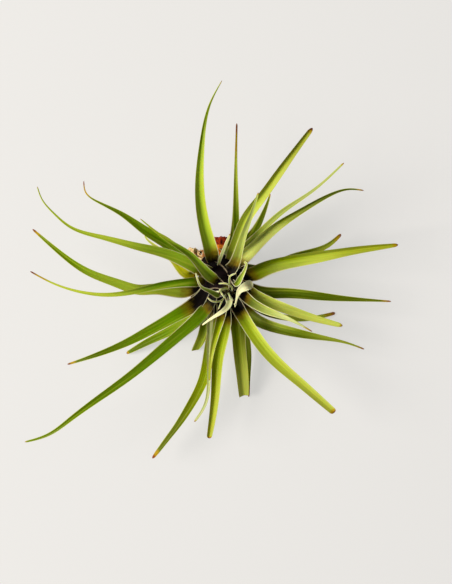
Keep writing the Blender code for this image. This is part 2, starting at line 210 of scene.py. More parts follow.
def ease(values: Array, low: float, high: float) -> Array:
    """Zero below low, one above high, and a smooth cubic step between."""
    share = np.clip((values - low) / (high - low), 0.0, 1.0)
    return share * share * (3.0 - 2.0 * share)


def round_angles(count: int) -> Array:
    """Angles in radians that divide a full turn evenly."""
    return np.linspace(0.0, 2 * np.pi, count, endpoint=False)


def smooth_route(points: tuple[Point, ...], count: int) -> Array:
    """Read a natural cubic spline through the points at equal steps of length.

    Args:
        points: The route's points in mm.
        count: How many stations to read.

    Returns:
        The stations, count by 3. Second derivatives come from one linear system over chord lengths.
    """
    knots = np.array(points, float)
    chord = np.concatenate(([0.0], np.cumsum(np.linalg.norm(np.diff(knots, axis=0), axis=1))))
    gap = np.diff(chord)
    size = len(knots)
    inner = np.arange(1, size - 1)
    system = np.eye(size)
    system[inner, inner - 1] = gap[:-1]
    system[inner, inner] = 2 * (gap[:-1] + gap[1:])
    system[inner, inner + 1] = gap[1:]
    slope = np.diff(knots, axis=0) / gap[:, None]
    change = np.zeros_like(knots)
    change[1:-1] = 6 * np.diff(slope, axis=0)
    bend = np.linalg.solve(system, change)
    fine = np.linspace(0.0, chord[-1], SPLINE_STEPS * size)
    cell = np.clip(np.searchsorted(chord, fine, side="right") - 1, 0, size - 2)
    span = gap[cell][:, None]
    past = (fine - chord[cell])[:, None] / span
    left = 1.0 - past
    curve = left * knots[cell] + past * knots[cell + 1]
    curve += ((left**3 - left) * bend[cell] + (past**3 - past) * bend[cell + 1]) * span**2 / 6
    length = np.concatenate(([0.0], np.cumsum(np.linalg.norm(np.diff(curve, axis=0), axis=1))))
    stations = np.linspace(0.0, length[-1], count)
    return np.stack([np.interp(stations, length, curve[:, axis]) for axis in range(3)], axis=1)


# Finishes


class Slot(Enum):
    """The record's material slots."""

    GREEN = "leaf_green"
    DARK = "leaf_dark"
    PALE = "leaf_pale"
    YELLOW = "leaf_yellow"
    HEART = "heart_leaf"
    SCALE = "dry_scale"
    STEM = "stem"


class Tone(Enum):
    """How a leaf is coloured: partly by its age, and partly with painted light and shade for how lit it
    lies.
    """

    LUSH = "lush_green_leaf"
    LIME = "lime_green_leaf"
    PALE = "pale_green_leaf"
    DEEP = "deep_green_leaf"
    SHADED = "shaded_green_leaf"
    AGEING = "ageing_yellow_leaf"
    YOUNG = "young_heart_leaf"
    PAPERY = "papery_dry_scale"
    CRUMBLED = "crumbled_dry_bark"

    @property
    def slot(self) -> Slot:
        """The record's slot for the tone."""
        return SLOTS[self]


SLOTS = {
    Tone.LUSH: Slot.GREEN, Tone.LIME: Slot.GREEN, Tone.PALE: Slot.PALE, Tone.DEEP: Slot.DARK,
    Tone.SHADED: Slot.DARK, Tone.AGEING: Slot.YELLOW, Tone.YOUNG: Slot.HEART, Tone.PAPERY: Slot.SCALE,
    Tone.CRUMBLED: Slot.SCALE,
}

# What a leaf finish reads at each vertex: its share of the way to the tip, its distances along the blade,
# across it and from the margin in mm, one for the underside, how far past the dark foot it is, whose
# darkness near the heart is partly painted shade, how dry, how wide the margin's rim is in mm, how near the
# root it is, and how much paler or darker it is painted: partly its own tone, partly painted light and
# shade.
LEAF_MARKS = ("share", "along", "across", "edge", "under", "foot", "dry", "rim", "young", "pallor_and_light")


def plain_marks(flat: Array) -> Marks:
    """Leaf attributes from zeros, for a piece whose margins lie 2 mm off, where no rim shows."""
    return dict.fromkeys(LEAF_MARKS, flat) | {"edge": flat + 2, "rim": flat + 0.1, "young": flat + 1}


@dataclass(frozen=True)
class LeafFinish:
    """Living leaf blade: a satin green cuticle with fine lengthwise veins and a silvery bloom.

    The bloom is a coat of tiny scales, paler than the blade. The foot is purple-brown, and olive above;
    near the heart its darkness is partly the leaf's own colour and partly painted shade. The margins are
    cream near the foot and take on the blade's green farther out, and the tip turns ochre and dries to
    brown.
    The shaded green and the paler lit colour mixed over the blade are painted shade and painted light.

    blade and far are the colours near the foot and near the tip, and the others are named for what
    they colour. Sizes are in mm, and those of veins and streaks are how far apart and how long.
    relief is how far the veins stand out in mm, and scale_relief is the scales' share of that.
    """

    blade: str
    far: str
    under: str = "#97a63a"
    margin: str = "#e4deb0"
    # The dark foot's colour: partly the leaf's own, partly painted shade near the heart.
    foot: str = "#0d080c"
    olive: str = "#80600a"
    shaded: str = "#3a4c00"
    bleached_and_lit: str = "#c6d444"
    edge: str = "#b4bf3c"
    streak: str = "#b6c23a"
    turning: str = "#b08c0a"
    dry: str = "#7d3a1c"
    bloom: str = "#c9cf8e"
    gloss: str = "#f0f2b0"
    bloom_share: float = 0.02
    roughness: float = 0.38
    dry_roughness: float = 0.3
    blotch_size: float = 4.0
    scale_size: float = 0.357
    vein_size: tuple[float, float] = (0.5, 28.6)
    streak_size: tuple[float, float] = (2.0, 62.5)
    ragged_foot: float = 0.25
    ragged_tip: float = 0.4
    scale_relief: float = 0.12
    relief: float = 0.12

    def build(self, name: str) -> Material:
        """Make the material.

        Args:
            name: The material's name.

        Returns:
            The material. It reads the attributes named in LEAF_MARKS.
        """
        # A waxy skin with a soft yellowish gloss, and a little light that spreads in the first millimetre.
        made, shader = new_material(name, {
            "IOR": 1.42, "Specular IOR Level": 0.2, "Specular Tint": linear(self.gloss),
            "Subsurface Weight": 0.12, "Subsurface Scale": 1.0 * MM,
        })
        tree = made.node_tree
        place = add_node(tree, "TexCoord", output="Object")
        mark = {label: add_node(tree, "Attribute", output="Fac", attribute_name=label)
                for label in LEAF_MARKS}

        # Blotches, and the bloom's scales. Real scales are too fine to show, so these are drawn coarser.
        blotch, scales = (
            add_node(tree, "TexNoise", {"Vector": place, "Scale": 1 / (size * MM), "Detail": detail})
            for size, detail in ((self.blotch_size, 3.0), (self.scale_size, 1.0)))
        # Veins and paler streaks run the whole blade, as noise that is drawn out lengthwise.
        lane = add_node(tree, "CombineXYZ", {"X": mark["across"], "Y": mark["along"]})
        lengthwise = []
        for (apart, length), detail in ((self.vein_size, 2.0), (self.streak_size, 1.0)):
            drawn = add_node(tree, "VectorMath", {0: lane, 1: (1 / apart, 1 / length, 0.0)},
                             operation="MULTIPLY")
            lengthwise.append(add_node(tree, "TexNoise",
                                       {"Vector": drawn, "Scale": 1.0, "Detail": detail}))
        veins, streaks = lengthwise

        # The foot's and the dry tip's borders follow the veins and blotches, so they aren't straight. Each
        # noise averages a half, so both less one average nothing.
        uneven = add_node(tree, "Math", {0: blotch, 1: veins}, operation="ADD")
        uneven = add_node(tree, "Math", {0: uneven, 1: -1.0}, operation="ADD")
        foot, dried = (
            add_node(tree, "Math", {0: uneven, 1: ragged, 2: mark[label]}, operation="MULTIPLY_ADD")
            for ragged, label in ((self.ragged_foot, "foot"), (self.ragged_tip, "dry")))
        inset = add_node(tree, "Math", {0: mark["edge"], 1: mark["rim"]}, operation="DIVIDE")
        rim = lay_coats(tree, linear(self.edge), (
            (mark["young"], (0.05, 0.5), (0.0, 1.0), linear(self.margin)),
        ))

        # The blade's own greens, with veins, streaks and blotches.
        colour = lay_coats(tree, linear(self.blade), (
            (mark["share"], (0.25, 0.95), (0.0, 1.0), linear(self.far)),
            (veins, (0.42, 0.66), (0.0, 0.3), linear(self.shaded)),
            (streaks, (0.52, 0.72), (0.0, 0.6), linear(self.streak)),
            (streaks, (0.3, 0.48), (0.45, 0.0), linear(self.shaded)),
            (blotch, (0.45, 0.75), (0.0, 0.2), linear(self.far)),
        ), "SMOOTHSTEP")
        # Painted light and shade, partly each leaf's own tone: darker stretches take the deep shaded green
        # and lighter ones the paler lit colour.
        colour = lay_coats(tree, colour, (
            (mark["pallor_and_light"], (-1.0, 0.0), (0.85, 0.0), linear(self.shaded)),
            (mark["pallor_and_light"], (0.0, 1.0), (0.0, 0.85), linear(self.bleached_and_lit)),
        ))
        # The underside, the bloom, the dark foot, which near the heart is partly painted shade, the margins
        # and the dried tip.
        colour = lay_coats(tree, colour, (
            (mark["under"], (0.0, 1.0), (0.0, 0.75), linear(self.under)),
            (scales, (0.5, 0.62), (0.0, self.bloom_share), linear(self.bloom)),
            (foot, (0.86, 1.12), (0.8, 0.0), linear(self.olive)),
            (foot, (0.72, 0.94), (1.0, 0.0), linear(self.foot)),
            (inset, (0.5, 1.0), (0.85, 0.0), rim),
            (dried, (0.1, 0.5), (0.0, 0.85), linear(self.turning)),
            (dried, (0.6, 0.88), (0.0, 1.0), linear(self.dry)),
        ), "SMOOTHSTEP")
        tree.links.new(colour, shader.inputs["Base Color"])

        # Dry tissue is duller than living tissue.
        rough = add_node(tree, "Math", {0: mark["dry"], 1: self.dry_roughness, 2: self.roughness},
                         operation="MULTIPLY_ADD", use_clamp=True)
        tree.links.new(rough, shader.inputs["Roughness"])
        height = add_node(tree, "Math", {0: scales, 1: self.scale_relief, 2: veins},
                          operation="MULTIPLY_ADD")
        bump = add_node(tree, "Bump",
                        {"Height": height, "Strength": 0.35, "Distance": self.relief * MM})
        tree.links.new(bump, shader.inputs["Normal"])
        return made


@dataclass(frozen=True)
class BarkFinish:
    """Dead woody stem in old leaf sheaths: fibrous and dark, with cream margins and an orange break.

    Sizes are in mm. Flakes give it its grain, and lumps break up the border of the bare wood.
    """

    name: str = "woody_stem"
    dark: str = "#0b0607"
    brown: str = "#170a0d"
    red: str = "#b03c1a"
    fresh: str = "#ff9a2c"
    margin: str = "#c9b492"
    flake_size: float = 2.0
    lump_size: float = 3.85
    relief: float = 0.6

    def build(self) -> Material:
        """Make the material.

        Returns:
            The material. It reads the attributes torn, which is one on the stump, fresh, which is one
            where its wood is bare, and margin, which is one along a sheath's margin.
        """
        made, shader = new_material(self.name, {"Roughness": 0.9, "Specular IOR Level": 0.1})
        tree = made.node_tree
        place = add_node(tree, "TexCoord", output="Object")
        fresh, torn, margin = (add_node(tree, "Attribute", output="Fac", attribute_name=label)
                               for label in ("fresh", "torn", "margin"))
        flakes = add_node(tree, "TexNoise", {"Vector": place, "Scale": 1 / (self.flake_size * MM),
                                             "Detail": 4.0, "Roughness": 0.7})
        lumps = add_node(tree, "TexNoise",
                         {"Vector": place, "Scale": 1 / (self.lump_size * MM), "Detail": 2.0})
        bare = add_node(tree, "Math", {0: fresh, 1: lumps}, operation="ADD")
        # Flakes are brown on the stem and red on the stump, and the hollows between them are dark. Bare
        # wood is orange with red fibres.
        flaky = lay_coats(tree, linear(self.brown), ((torn, (0.0, 1.0), (0.0, 1.0), linear(self.red)),))
        bark = lay_coats(tree, linear(self.dark), ((flakes, (0.36, 0.6), (0.0, 1.0), flaky),))
        wood = lay_coats(tree, linear(self.fresh), ((flakes, (0.5, 0.62), (0.0, 0.6), linear(self.red)),))
        colour = lay_coats(tree, bark, (
            (bare, (0.9, 1.2), (0.0, 1.0), wood),
            (margin, (0.0, 1.0), (0.0, 1.0), linear(self.margin)),
        ))
        tree.links.new(colour, shader.inputs["Base Color"])
        bump = add_node(tree, "Bump",
                        {"Height": flakes, "Strength": 0.8, "Distance": self.relief * MM})
        tree.links.new(bump, shader.inputs["Normal"])
        return made


@dataclass(frozen=True)
class PaperFinish:
    """Matt white paper: even and without gloss. Its faint glow stands for light from all round."""

    name: str = "matt_paper"
    colour: str = "#8e8d8b"
    glow: str = "#c2c1bf"

    def build(self) -> Material:
        """Make the material.

        Returns:
            The material.
        """
        return new_material(self.name, {
            "Base Color": linear(self.colour), "Emission Color": linear(self.glow),
            "Emission Strength": 1.0, "Roughness": 0.9, "Specular IOR Level": 0.05,
        })[0]


# Leaves and dry remains by age, some of them lit and shaded copies with painted light and shade, each
# with what it gives the eye.
FINISHES = {
    # Full-grown leaf in good light: a clear, full green.
    Tone.LUSH: LeafFinish("#709a00", "#728800"),
    # Leaf in the strongest light: yellowish green, bleached where it faces the light.
    Tone.LIME: LeafFinish("#93a800", "#a0a600", bleached_and_lit="#cdd660"),
    # Leaf that is silvery with bloom all over: pale and greyish green.
    Tone.PALE: LeafFinish("#a6b24a", "#bac472", under="#c6cb84", bleached_and_lit="#d8e09a"),
    # Low leaf in the others' shade: deep green with a tan tip.
    Tone.DEEP: LeafFinish("#587000", "#626c06", under="#76873a", dry="#9c6034"),
    # Leaf that is light near the foot and deep green where it turns from the light.
    Tone.SHADED: LeafFinish("#98a61c", "#4f5a08", under="#8a9440", bleached_and_lit="#d2dc74"),
    # Dying leaf: yellow, and orange towards the foot.
    Tone.AGEING: LeafFinish("#b9b400", "#b8c058", under="#b9a840", olive="#e09a10"),
    # Young leaf of the heart: fresh green with cream margins, and matt with scales.
    Tone.YOUNG: LeafFinish("#90ac22", "#b6c452", under="#dde29c", margin="#eee8c0", edge="#dcdca0",
                           bleached_and_lit="#f0edbe", bloom_share=0.04, roughness=0.55),
    # Crumbs of dead bark: rough, from tan to cream.
    Tone.CRUMBLED: LeafFinish("#a0602c", "#f4d4a0", under="#c08c50", olive="#8a5428", dry="#b9813f",
                              roughness=0.85),
    # Dry leaf base: straw-coloured, papery and dull.
    Tone.PAPERY: LeafFinish("#f0cc9c", "#f8e6c4", under="#a67c4c", margin="#e2c99c", olive="#6b3a18",
                            dry="#b9813f", roughness=0.8),
}


# The stem


@dataclass(frozen=True)
class Swell:
    """A dark swell on the stem, standing as painted shade in a gap between leaf feet: its bearing in
    degrees, its height and how far out in mm.
    """

    bearing: float
    height: float
    out: float


@dataclass(frozen=True)
class Stem:
    """The short leaning stem, wrapped in the sheaths of old leaves. Lengths are in mm.

    The axis runs from the origin to the heart. profile gives radii at distances along it, and bud_top
    is where the bud ends. Leaves grow in rings, ring_step apart. A sheath stands out by sheath_step,
    its margin winds up by sheath_drift of a sheath for each mm, and sheath_margin is the margin's
    share of a sheath. Margins turn cream over the stretch cream_over. swell_spread is a swell's size
    in degrees and mm. bare_at and bare_spread place the patch of bare wood below the stump, in X and
    Y, and bare_share is how bare it is.
    """

    heart: Point = (10.0, -19.0, 45.0)
    profile: tuple[tuple[float, float], ...] = (
        (-6.0, 6.0), (5.0, 11.8), (12.0, 13.4), (20.0, 13.0),
        (28.0, 11.8), (36.0, 9.0), (42.0, 6.4), (46.0, 4.6),
    )
    bud_top: float = 54.35
    first_ring: float = 10.0
    ring_step: float = 5.3
    rows: int = 120
    around: int = 288
    sheaths: int = 6
    sheath_step: float = 0.7
    sheath_drift: float = 0.045
    sheath_margin: float = 0.05
    cream_over: tuple[float, float] = (22.0, 30.0)
    # Dark fills in gaps between leaf feet: painted shade.
    swells: tuple[Swell, ...] = (Swell(14.0, 21.5, 2.2), Swell(-142.0, 20.0, 1.1))
    swell_spread: tuple[float, float] = (16.0, 6.0)
    bare_at: tuple[float, float] = (2.0, 8.0)
    bare_spread: tuple[float, float] = (6.0, 5.0)
    bare_share: float = 0.85

    @property
    def axis(self) -> Array:
        """The direction from the foot to the heart."""
        return unit(np.array(self.heart))

    def radius(self, along: Array) -> Array:
        """Radius of the stem, straight between the profile's points, without the sheaths round it."""
        distances, radii = zip(*self.profile)
        return np.where(along > self.bud_top, 0.0, np.interp(along, distances, radii))

    def outward(self, bearing: float) -> Array:
        """The direction square to the axis at a bearing, with the upright frame tilted to the axis."""
        turn = Vector((0.0, 0.0, 1.0)).rotation_difference(Vector(self.axis))
        return np.array(turn @ Vector((np.cos(radians(bearing)), np.sin(radians(bearing)), 0.0)))

    def spokes(self, angle: Array) -> Array:
        """Directions square to the axis at angles round it.

        Args:
            angle: The angles in radians.

        Returns:
            One direction for each: the first direction by the cosine and the second by the sine.
        """
        first = self.outward(0.0)
        second = np.cross(self.axis, first)
        return first * np.cos(angle)[:, None] + second * np.sin(angle)[:, None]

    def clear(self, points: Array, room: float) -> Array:
        """Push points straight out from the axis until they are clear of the stem.

        Args:
            points: Points in mm, the last dimension being X, Y, Z.
            room: How far off the surface they are to lie at least.

        Returns:
            The points, moved where they were too near.
        """
        along = points @ self.axis
        outward = points - along[..., None] * self.axis
        reach = np.linalg.norm(outward, axis=-1)
        wanted = np.maximum(reach, self.radius(along) + room)
        return points + outward * (wanted / reach - 1)[..., None]

    def build(self, bark: Material) -> Piece:
        """Make and dress the stem: rings round the leaning axis, cut level where it rests.

        A ring's radius grows by a step from one sheath's margin round to the next, and the margins
        wind upwards. It swells by a bell over bearing and height, a dark fill that stands as painted shade
        in a gap between leaf feet.

        Args:
            bark: The finish.

        Returns:
            The stem's object.
        """
        along = np.linspace(self.profile[0][0], self.profile[-1][0], self.rows)
        angle = round_angles(self.around)
        past_margin = (angle / (2 * np.pi) * self.sheaths + along[:, None] * self.sheath_drift) % 1.0
        radius = self.radius(along)[:, None] - self.sheath_step * (1 - past_margin)
        # Dark swells fill gaps between leaf feet as painted shade.
        for swell in self.swells:
            apart = ((np.degrees(angle) - swell.bearing + 180) % 360 - 180) / self.swell_spread[0]
            above = (along[:, None] - swell.height) / self.swell_spread[1]
            radius = radius + swell.out * np.exp(-(apart**2 + above**2))
        points = along[:, None, None] * self.axis + radius[..., None] * self.spokes(angle)
        points[..., 2] = np.maximum(points[..., 2], 0.0)
        from_bare = (points[..., :2] - self.bare_at) / self.bare_spread
        fresh = self.bare_share * np.exp(-np.sum(from_bare**2, axis=-1))
        margin = np.exp(-(((1 - past_margin) / self.sheath_margin) ** 2))
        margin = margin * ease(along, *self.cream_over)[:, None]
        marks = {"fresh": fresh, "torn": np.zeros_like(fresh), "margin": margin}
        return dress(skin("stem_dressed", points, marks), bark, "stem")


@dataclass(frozen=True)
class Stump:
    """The stem's broken foot, which shows beside the old leaves. Lengths are in mm.

    Its sides are inset a little and waver in lobes, which wind along it, and in ribs. Its last rings
    draw in over the break: break_widths and break_shares say how wide and how far along they are.
    torn lists the waves round the break: how many, how deep as a share of the length, and their
    phase. shear slants the break, so that it ends square to the Y axis. Its wood is bare by a bell
    along Y, and turns bare over the heights in bare_above.
    """

    start: Point = (1.0, 2.0, 9.0)
    end: Point = (5.5, 17.5, 7.0)
    radius: float = 5.6
    rows: int = 26
    around: int = 48
    break_widths: tuple[float, ...] = (0.94, 0.7, 0.2)
    break_shares: tuple[float, ...] = (1.0, 0.97)
    torn: tuple[tuple[int, float, float], ...] = ((5, 0.02, 0.0), (11, 0.02, 1.0), (23, 0.015, 0.0))
    shear: float = 0.29
    inset: float = 0.06
    lobes: int = 3
    lobe_height: float = 0.05
    lobe_winding: float = 6.0
    ribs: int = 9
    rib_height: float = 0.03
    bare_y: float = 10.0
    bare_length: float = 3.4
    bare_above: tuple[float, float] = (6.0, 9.0)

    def build(self, bark: Material) -> Piece:
        """Make and dress the stump: rings along its length, ragged and sheared at the end.

        Args:
            bark: The finish.

        Returns:
            The stump's object, which stands for the stem with the stem's own.
        """
        start, end = np.array(self.start), np.array(self.end)
        way = unit(end - start)
        side = unit(np.cross(way, (0.0, 0.0, 1.0)))
        lift = np.cross(side, way)
        share = np.concatenate([np.linspace(0.0, 1.0, self.rows), self.break_shares])[:, None]
        shrink = np.concatenate([np.ones(self.rows - 1), self.break_widths])[:, None]
        angle = round_angles(self.around)
        ragged = sum(depth * np.sin(count * angle + phase) for count, depth, phase in self.torn)
        waver = 1 - self.inset + self.lobe_height * np.sin(self.lobes * angle + self.lobe_winding * share)
        waver = waver + self.rib_height * np.sin(self.ribs * angle)
        radius = self.radius * shrink * waver
        sheared = self.shear * radius * np.cos(angle) / np.linalg.norm(end - start)
        reach = share + share**4 * (ragged * shrink + sheared)
        spokes = side * np.cos(angle)[:, None] + lift * np.sin(angle)[:, None]
        points = start + reach[..., None] * (end - start) + radius[..., None] * spokes
        fresh = np.exp(-(((points[..., 1] - self.bare_y) / self.bare_length) ** 2))
        fresh = fresh * ease(points[..., 2], *self.bare_above)
        marks = {"fresh": fresh[:, ::-1], "torn": np.ones_like(fresh), "margin": np.zeros_like(fresh)}
        return dress(skin("stump_dressed", points[:, ::-1], marks), bark, "stem")


# Leaves


@dataclass(frozen=True)
class Leaf:
    """One blade: where it grows, the route of its midrib, its section and its looks.

    Lengths are in mm and angles in degrees. Left and right are as seen from the root.

    Attributes:
        node: The CAD node that it stands for.
        route: The midrib's points, out to the tip.
        ring: The ring that it grows in, counted up the stem from zero.
        bearing: Where round the stem it grows, from +X towards +Y.
        width: Its width past the foot.
        taper: The power of the way left to the tip by which it narrows.
        tip: Its width at the tip.
        belly: How much a belly adds to its width.
        belly_at: The belly's share of the way to the tip.
        fold: The slope of the V across it.
        roll: Its turn about the midrib.
        twist: How much the roll grows from the root to the tip.
        pallor_and_light: How much paler it is painted near the root and near the tip, from -1, painted
            shade, to 1, painted light; partly its own tone.
        crest_light: A painted highlight at the top of its arch: how much paler it is there, or darker below
            zero.
        lit_side: Painted light on the lit side: how much paler the right margin is, or the left one if below
            zero.
        dark: How far from the heart its dark foot ends, or from the root in a young leaf or a scale; the
            foot is partly painted shade.
        dry: The length of its dried tip.
        rim: The width of its cream margin.
        blunt: The length over which the tip closes.
        slant: How far the right corner of a cut tip runs ahead, in half widths.
        tone: Its finish.
    """

    node: str
    route: tuple[Point, ...]
    ring: float = 0.0
    bearing: float = 0.0
    width: float = 8.0
    taper: float = 1.0
    tip: float = 0.9
    belly: float = 0.0
    belly_at: float = 0.5
    fold: float = 32.0
    roll: float = 0.0
    twist: float = 0.0
    pallor_and_light: tuple[float, float] = (0.0, 0.0)
    crest_light: float = 0.0
    lit_side: float = 0.0
    dark: float = 22.0
    dry: float = 2.5
    rim: float = 0.32
    blunt: float = 1.6
    slant: float = 0.0
    tone: Tone = Tone.LUSH


@dataclass(frozen=True)
class Blades:
    """Builds leaf blades round the stem, all by one formula. Lengths are in mm, angles in degrees."""

    stem: Stem
    finishes: dict[Tone, Material]
    # The grid: rows along a blade, which crowd towards its tip, points round it, and stations of its route.
    rows: int = 110
    crowding: float = 1.15
    around: int = 32
    stations: int = 400
    # How far a root and the blades of each ring keep off the stem. Lower rings keep off more.
    root_clearance: float = 0.8
    ring_room: float = 0.22
    top_ring: float = 6.4
    # The fold opens from the root's to the leaf's own, a little deepened, and flattens in narrow parts.
    root_fold: float = 8.0
    fold_more: float = 1.2
    fold_share: float = 0.14
    full_fold: float = 1.5
    crease: float = 0.16
    # The blade's thickness, thinner at the margins and in narrow parts.
    thickness: float = 0.9
    edge_thickness: float = 0.28
    thickness_power: float = 0.7
    least_body: float = 0.35
    full_body: float = 2.5
    # The width: gathered in at the root, a little fuller than stated, and closed at the tip but for a
    # small end.
    gather: float = 0.35
    gather_length: float = 16.0
    fuller: float = 0.22
    closing: float = 0.97
    # The margins' ripple: its height, the range of its lengths for each radian, its highest phase in
    # radians, and the half width from which it is full.
    ripple: float = 0.22
    ripple_lengths: tuple[float, float] = (5.0, 8.0)
    ripple_phases: float = 6.3
    ripple_half: float = 3.0
    # The share of the way from which the corner of a slanted tip runs ahead.
    slant_from: float = 0.7
    # The sine round a ring below which its points belong to the underside.
    underside: float = -0.02
    # The shares of the way at which the two values of painted light and shade hold, and the share and spread
    # of the painted highlight at the arch's top.
    pale_at: tuple[float, float] = (0.3, 0.8)
    crest_at: float = 0.55
    crest_spread: float = 0.15
    # The root's own reading past the dark foot, and the distance over which it grows by one.
    root_foot: float = 0.7
    root_dark: float = 12.0
    # How much wider the rim is at the root, how far that reaches, and how far the rim stays cream.
    rim_more: float = 1.2
    rim_reach: float = 50.0
    cream_reach: float = 60.0
    seed: int = 7

    def root(self, leaf: Leaf) -> Point:
        """Find where a leaf meets the stem, just clear of it.

        Args:
            leaf: The leaf.

        Returns:
            The point in mm.
        """
        along = self.stem.first_ring + self.stem.ring_step * leaf.ring
        reach = float(self.stem.radius(np.array(along))) + self.root_clearance
        return tuple(self.stem.axis * along + self.stem.outward(leaf.bearing) * reach)

    def half_width(self, leaf: Leaf, share: Array, length: float) -> Array:
        """Work out half of the blade's width.

        Args:
            leaf: The leaf.
            share: Shares of the way from root to tip.
            length: The length of the midrib.

        Returns:
            Half widths: a power of the share left, gathered in towards the root, plus the fourth
            power of a sine for the belly, closed by a quarter ellipse over the last of the tip.
        """
        tapered = leaf.tip + self.fuller + (leaf.width - leaf.tip) * (1 - share) ** leaf.taper
        gathered = 1 - self.gather * (1 - ease(share * length, 0.0, self.gather_length))
        belly = leaf.belly * np.sin(np.pi * share ** (np.log(0.5) / np.log(leaf.belly_at))) ** 4
        near_tip = np.clip(1 - (1 - share) * length / (leaf.blunt * (1 + leaf.tip / 2)), 0.0, 1.0)
        return (tapered * gathered + belly) / 2 * np.sqrt(1 - self.closing * near_tip**2)

    def foot(self, leaf: Leaf, way: Array, from_heart: Array) -> Array:
        """Work out how far past its dark foot each point of a blade lies.

        Args:
            leaf: The leaf.
            way: Distances along the midrib.
            from_heart: Level distances from the heart.

        Returns:
            One where the dark foot ends, less nearer the heart or the root. Near the heart the darkness is
            partly the leaf's own colour and partly painted shade. Young leaves and dry scales have only the
            root's own dark foot.
        """
        if leaf.tone in (Tone.YOUNG, Tone.PAPERY):
            return way / leaf.dark
        return np.minimum(from_heart / leaf.dark, self.root_foot + way / self.root_dark)

    def pallor(self, leaf: Leaf, share: Array, across: Array, opened: Array) -> Array:
        """Work out how much paler or darker each point of a blade is painted: partly its own tone and partly
        painted light and shade.

        Args:
            leaf: The leaf.
            share: Shares of the way, one for each row.
            across: Places across the blade, from -1 at the left margin to 1 at the right one.
            opened: How far the blade has opened from its root, one for each row.

        Returns:
            The leaf's two values, straight between, plus a bell of painted highlight at the arch's top, plus
            the square of the place across on the lit side, as painted light.
        """
        # Painted highlight at the arch's top, and painted light on the lit side.
        crest_light = np.exp(-(((share - self.crest_at) / self.crest_spread) ** 2))
        side_light = abs(leaf.lit_side) * np.clip(np.sign(leaf.lit_side) * across, 0.0, 1.0) ** 2 * opened
        return (np.interp(share, self.pale_at, leaf.pallor_and_light) + leaf.crest_light * crest_light)[:, None] + side_light

    def grid(self, leaf: Leaf, route: tuple[Point, ...], room: float | None) -> tuple[Array, Marks]:
        """Work out a blade's closed skin.

        A ring's point at angle a lies at midrib + side * half width * cos a + lift * (rise + half
        thickness * sin a). The rise is a rounded V across the blade: half width * tan(fold) *
        (hypot(cos a, crease) - crease), scaled to one at the margins, which ripple a little. Side is
        level and square to the midrib, and is turned by the roll. A rolled blade is as much wider as
        keeps its width from above, and is moved sideways by the sine of its roll, so that its
        margins lie evenly about the route.

        Args:
            leaf: The leaf.
            route: Its midrib's points, from the root.
            room: How far the blade is kept off the stem, or None where it grows out of it.

        Returns:
            The grid of points in mm, and the attributes that the finish reads.
        """
        draw = np.random.default_rng([self.seed, *leaf.node.encode()])
        share = 1 - (1 - np.linspace(0.0, 1.0, self.rows)) ** self.crowding
        fine = smooth_route(route, self.stations)
        even = np.linspace(0, 1, self.stations)
        centre = np.stack([np.interp(share, even, fine[:, axis]) for axis in range(3)], axis=1)
        length = float(np.sum(np.linalg.norm(np.diff(fine, axis=0), axis=1)))
        forward = unit(np.gradient(centre, axis=0))
        # Where the midrib passes the upright, the level side would swing round, so its sign is kept.
        side = unit(np.cross(forward, (0.0, 0.0, 1.0)))
        swung = np.sum(side[1:] * side[:-1], axis=1) < 0
        side[1:] *= np.cumprod(np.where(swung, -1.0, 1.0))[:, None]
        lift = np.cross(side, forward)
        roll = np.radians(leaf.roll + leaf.twist * (share - 0.5))[:, None]
        level = side
        side, lift = side * np.cos(roll) + lift * np.sin(roll), lift * np.cos(roll) - side * np.sin(roll)

        angle = round_angles(self.around)
        across = np.cos(angle)
        half = self.half_width(leaf, share, length)[:, None] / np.cos(roll)
        opened = np.clip(share / self.fold_share, 0.0, 1.0)[:, None]
        fold = self.root_fold + (leaf.fold * self.fold_more - self.root_fold) * opened
        slope = np.tan(np.radians(fold) * np.clip(half / self.full_fold, 0.0, 1.0))
        rise = (np.hypot(across, self.crease) - self.crease) / (np.hypot(1.0, self.crease) - self.crease)
        way = share[:, None] * length
        pace = draw.uniform(*self.ripple_lengths)
        phase = draw.uniform(0, self.ripple_phases, 2)[(across > 0).astype(int)]
        wave = np.sin(way / pace + phase) * across**2 * self.ripple
        wave = wave * np.clip(half / self.ripple_half, 0, 1) * opened
        body = self.edge_thickness
        body = body + (self.thickness - self.edge_thickness) * (1 - across**2) ** self.thickness_power
        body = body * np.clip(self.least_body + half / self.full_body, 0.0, 1.0)
        up = half * slope * rise + wave + body / 2 * np.sin(angle)
        centre = centre + level * half * slope * np.sin(roll)
        points = centre[:, None] + side[:, None] * (half * across)[..., None] + lift[:, None] * up[..., None]
        ahead = leaf.slant * half * across * ease(share, self.slant_from, 1.0)[:, None]
        points = points + forward[:, None] * ahead[..., None]
        if room is not None:
            points = self.stem.clear(points, room)

        from_heart = np.hypot(points[..., 0] - self.stem.heart[0], points[..., 1] - self.stem.heart[1])
        ones = np.ones_like(from_heart)
        marks = {
            "share": share[:, None] * ones,
            "along": way * ones,
            "across": half * across,
            "edge": half * (1 - np.abs(across)),
            "under": (np.sin(angle) < self.underside) * ones,
            "foot": self.foot(leaf, way * ones, from_heart),
            "dry": np.clip(1 - (length - way) / (2 * leaf.dry), 0.0, 1.0) * ones,
            "rim": leaf.rim * (1 + self.rim_more * np.clip(1 - way / self.rim_reach, 0.0, 1.0)) * ones,
            "young": np.clip(1 - way / self.cream_reach, 0.0, 1.0) * ones,
            "pallor_and_light": self.pallor(leaf, share, across, opened),
        }
        return points, marks

